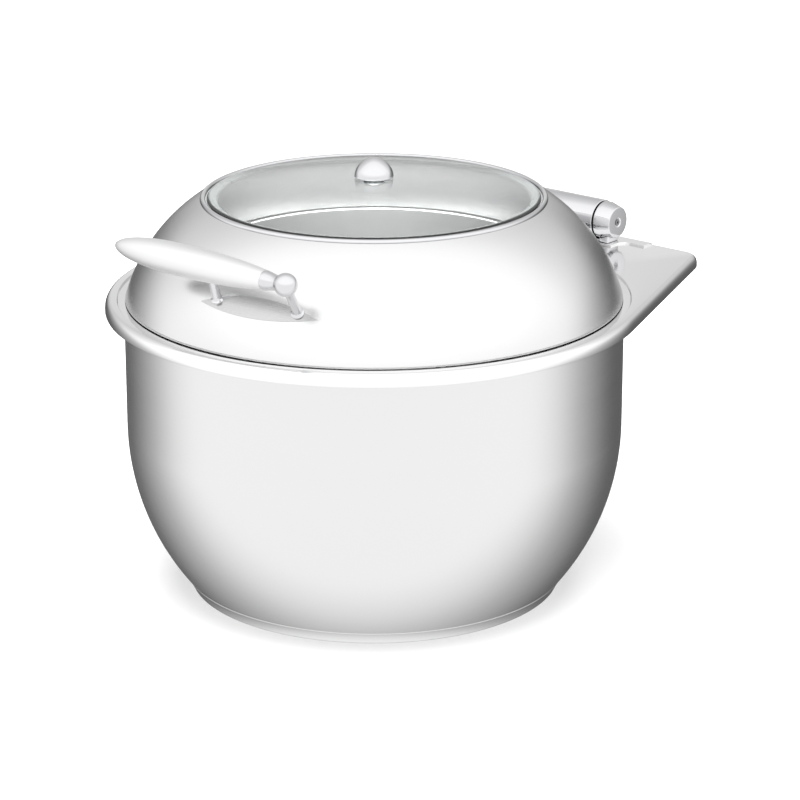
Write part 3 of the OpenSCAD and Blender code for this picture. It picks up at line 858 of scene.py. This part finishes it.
def camera():
    """A long lens, a little above the lid, from the front right of the kettle."""
    data = bpy.data.cameras.new("camera")
    data.lens = 140.1
    data.sensor_width = 36
    data.clip_end = 50
    view = bpy.data.objects.new("camera", data)
    bpy.context.scene.collection.objects.link(view)
    out = Vector(
        (
            math.sin(VIEW_TURN) * math.cos(VIEW_TILT),
            -math.cos(VIEW_TURN) * math.cos(VIEW_TILT),
            math.sin(VIEW_TILT),
        )
    )
    right = Vector((math.cos(VIEW_TURN), math.sin(VIEW_TURN), 0))
    target = Vector((0, 0, VIEW_HEIGHT)) + right * VIEW_ASIDE
    view.location = Vector((0, 0, VIEW_HEIGHT)) + out * VIEW_DISTANCE
    view.rotation_mode = "QUATERNION"
    view.rotation_quaternion = (target - view.location).to_track_quat("-Z", "Y")
    bpy.context.scene.camera = view


def floor():
    bm = bmesh.new()
    bmesh.ops.create_circle(bm, cap_ends=True, segments=96, radius=14)
    bmesh.ops.recalc_face_normals(bm, faces=bm.faces)
    mesh = bpy.data.meshes.new("floor")
    bm.to_mesh(mesh)
    bm.free()
    mesh.materials.append(floor_paper(bpy.context.scene.kettle_colours))
    made = bpy.data.objects.new("floor", mesh)
    bpy.context.scene.collection.objects.link(made)
    made.visible_glossy = False


def dark_flag():
    """The direction of the studio's one dark flag: low behind the kettle, a little to its right."""
    turn = VIEW_TURN + math.radians(173.5)
    low = math.radians(-20)
    return Vector((math.sin(turn) * math.cos(low), -math.cos(turn) * math.cos(low), math.sin(low)))


def by_direction(tree, place, direction, stops):
    """Brightness by the angle from a direction: stops pair the angle in degrees with a level."""
    facing = add_node(tree, "ShaderNodeVectorMath", [(0, place)], operation="DOT_PRODUCT")
    facing.inputs[1].default_value = direction
    scaled = add_node(tree, "ShaderNodeMapRange", [("Value", facing.outputs["Value"])])
    scaled.inputs["From Min"].default_value = -1
    ramp = add_node(tree, "ShaderNodeValToRGB", [("Fac", scaled.outputs["Result"])])
    elements = ramp.color_ramp.elements
    while len(elements) < len(stops):
        elements.new(0.5)
    for element, (angle, level) in zip(elements, sorted(stops, reverse=True)):
        element.position = (math.cos(math.radians(angle)) + 1) / 2
        element.color = (level, level, level, 1)
    return ramp.outputs["Color"]


def studio_world():
    """A bright studio all round, with one soft dark flag low behind the kettle."""
    world = bpy.data.worlds.new("studio")
    bpy.context.scene.world = world
    world.use_nodes = True
    tree = world.node_tree
    tree.nodes.clear()
    place = add_node(tree, "ShaderNodeTexCoord").outputs["Generated"]
    # the flag is a long low strip, so heights count for more than turns
    stretched = add_node(tree, "ShaderNodeVectorMath", [(0, place)], operation="MULTIPLY")
    stretched.inputs[1].default_value = STRIP_STRETCH
    tall = add_node(tree, "ShaderNodeVectorMath", [(0, stretched.outputs[0])], operation="NORMALIZE")
    low = by_direction(
        tree, tall.outputs[0], dark_flag(),
        [(0, 0.09), (30, 0.10), (38, 0.14), (50, 0.29), (62, 0.50), (73, 0.80), (84, 0.98), (180, 0.97)],
    )
    behind = Vector((-math.sin(VIEW_TURN), math.cos(VIEW_TURN), 0))
    high = by_direction(
        tree, place, behind,
        [(0, 0.66), (10, 0.62), (22, 0.46), (48, 0.57), (64, 0.69), (80, 0.91), (110, 1), (180, 1)],
    )
    # the strip stops lower straight behind the kettle, so that flat tops mirror a bright wall
    gap = by_direction(tree, place, behind, [(0, 0.25), (14, 0.25), (32, 0), (180, 0)])
    height = add_node(tree, "ShaderNodeSeparateXYZ", [("Vector", place)]).outputs["Z"]
    lifted = add_node(tree, "ShaderNodeMath", [(0, height), (1, gap)], operation="ADD")
    rise = add_node(
        tree, "ShaderNodeMapRange", [("Value", lifted.outputs[0])], interpolation_type="SMOOTHSTEP"
    )
    rise.inputs["From Min"].default_value = 0.06
    rise.inputs["From Max"].default_value = 0.50
    lower = add_node(tree, "ShaderNodeBackground", [("Color", low)], Strength=LOW_LEVEL)
    upper = add_node(tree, "ShaderNodeBackground", [("Color", high)], Strength=HIGH_LEVEL)
    hemispheres = add_node(
        tree,
        "ShaderNodeMixShader",
        [("Fac", rise.outputs["Result"]), (1, lower.outputs[0]), (2, upper.outputs[0])],
    )
    plain = add_node(tree, "ShaderNodeBackground", Strength=1.0)
    plain.inputs["Color"].default_value = (1, 1, 1, 1)
    seen = add_node(tree, "ShaderNodeLightPath").outputs["Is Camera Ray"]
    mix = add_node(
        tree, "ShaderNodeMixShader", [("Fac", seen), (1, hemispheres.outputs[0]), (2, plain.outputs[0])]
    )
    output = add_node(tree, "ShaderNodeOutputWorld")
    tree.links.new(mix.outputs[0], output.inputs["Surface"])


def softbox(name, place, target, size, power):
    """A round soft light aimed at a point, which the camera doesn't see."""
    data = bpy.data.lights.new(name, "AREA")
    data.shape = "DISK"
    data.size = size
    data.energy = power
    light = bpy.data.objects.new(name, data)
    bpy.context.scene.collection.objects.link(light)
    light.location = place
    light.rotation_mode = "QUATERNION"
    light.rotation_quaternion = (Vector(target) - Vector(place)).to_track_quat("-Z", "Y")
    light.visible_camera = False
    return light


# ---------------------------------------------------------------- operators


class KETTLE_OT_stage(bpy.types.Operator):
    """Adds the camera, the floor and the soft studio light"""

    bl_idname = "kettle.stage"
    bl_label = "Stage"

    def execute(self, context):
        camera()
        floor()
        studio_world()
        above = (0, 0, OVERHEAD_HEIGHT)
        overhead = softbox("overhead_softbox", above, (0, 0, 0), OVERHEAD_SIZE, OVERHEAD_POWER)
        overhead.visible_glossy = False
        inside = (0, 0, low_of("window_glass") - FILL_DROP)
        softbox("window_fill", inside, (0, 0, 0), FILL_SIZE, FILL_POWER)
        context.scene.view_settings.view_transform = "Standard"
        return {"FINISHED"}


class KETTLE_OT_base_and_pan(bpy.types.Operator):
    """Makes the base disc and the water pan"""

    bl_idname = "kettle.base_and_pan"
    bl_label = "Base and water pan"

    def execute(self, context):
        base_disc()
        water_pan()
        return {"FINISHED"}


class KETTLE_OT_top_frame(bpy.types.Operator):
    """Makes the polished top frame with its hinge plate"""

    bl_idname = "kettle.top_frame"
    bl_label = "Top frame"

    def execute(self, context):
        top_frame()
        return {"FINISHED"}


class KETTLE_OT_soup_pot(bpy.types.Operator):
    """Makes the soup pot and the collar that carries it"""

    bl_idname = "kettle.soup_pot"
    bl_label = "Soup pot"

    def execute(self, context):
        soup_pot()
        adapter_collar()
        return {"FINISHED"}


class KETTLE_OT_hinge(bpy.types.Operator):
    """Makes the hinge barrel, its caps, feet, pad and arm"""

    bl_idname = "kettle.hinge"
    bl_label = "Hinge"

    def execute(self, context):
        hinge_pad()
        hinge_arm()
        tube("hinge_barrel", "barrel", "lid", "polished_steel", BARREL_WALL, 0.5 * MM)
        for side in ("left", "right"):
            end_cap(side)
            hinge_foot(side)
        return {"FINISHED"}


class KETTLE_OT_lid(bpy.types.Operator):
    """Makes the lid dome with its window"""

    bl_idname = "kettle.lid"
    bl_label = "Lid"

    def execute(self, context):
        lid_dome()
        window_parts()
        return {"FINISHED"}


class KETTLE_OT_knob_and_handle(bpy.types.Operator):
    """Makes the knob and the handle"""

    bl_idname = "kettle.knob_and_handle"
    bl_label = "Knob and handle"

    def execute(self, context):
        knob()
        handle()
        return {"FINISHED"}


class KETTLE_OT_small_parts(bpy.types.Operator):
    """Gives the small parts their finishes"""

    bl_idname = "kettle.small_parts"
    bl_label = "Small parts"

    def execute(self, context):
        small_parts()
        return {"FINISHED"}


class KETTLE_PT_panel(bpy.types.Panel):
    """Lists the kettle's sizes, colours and steps"""

    bl_idname = "KETTLE_PT_panel"
    bl_label = "Soup kettle"
    bl_space_type = "VIEW_3D"
    bl_region_type = "UI"
    bl_category = "Kettle"

    def draw(self, context):
        scene = context.scene
        for group in (scene.kettle_pan, scene.kettle_frame, scene.kettle_lid, scene.kettle_colours):
            box = self.layout.box()
            for key in group.__annotations__:
                box.prop(group, key)
        for step in STEPS:
            self.layout.operator(step.bl_idname)


GROUPS = {
    "kettle_pan": KettlePanSizes,
    "kettle_frame": KettleFrameSizes,
    "kettle_lid": KettleLidSizes,
    "kettle_colours": KettleColours,
}
STEPS = [
    KETTLE_OT_stage,
    KETTLE_OT_base_and_pan,
    KETTLE_OT_top_frame,
    KETTLE_OT_soup_pot,
    KETTLE_OT_hinge,
    KETTLE_OT_lid,
    KETTLE_OT_knob_and_handle,
    KETTLE_OT_small_parts,
]


def register():
    for made in [*GROUPS.values(), *STEPS, KETTLE_PT_panel]:
        bpy.utils.register_class(made)
    for name, group in GROUPS.items():
        setattr(bpy.types.Scene, name, bpy.props.PointerProperty(type=group))


def unregister():
    for name in GROUPS:
        delattr(bpy.types.Scene, name)
    for made in reversed([*GROUPS.values(), *STEPS, KETTLE_PT_panel]):
        bpy.utils.unregister_class(made)


def main():
    register()
    for step in STEPS:
        group, name = step.bl_idname.split(".")
        getattr(getattr(bpy.ops, group), name)()


if __name__ == "__main__":
    main()
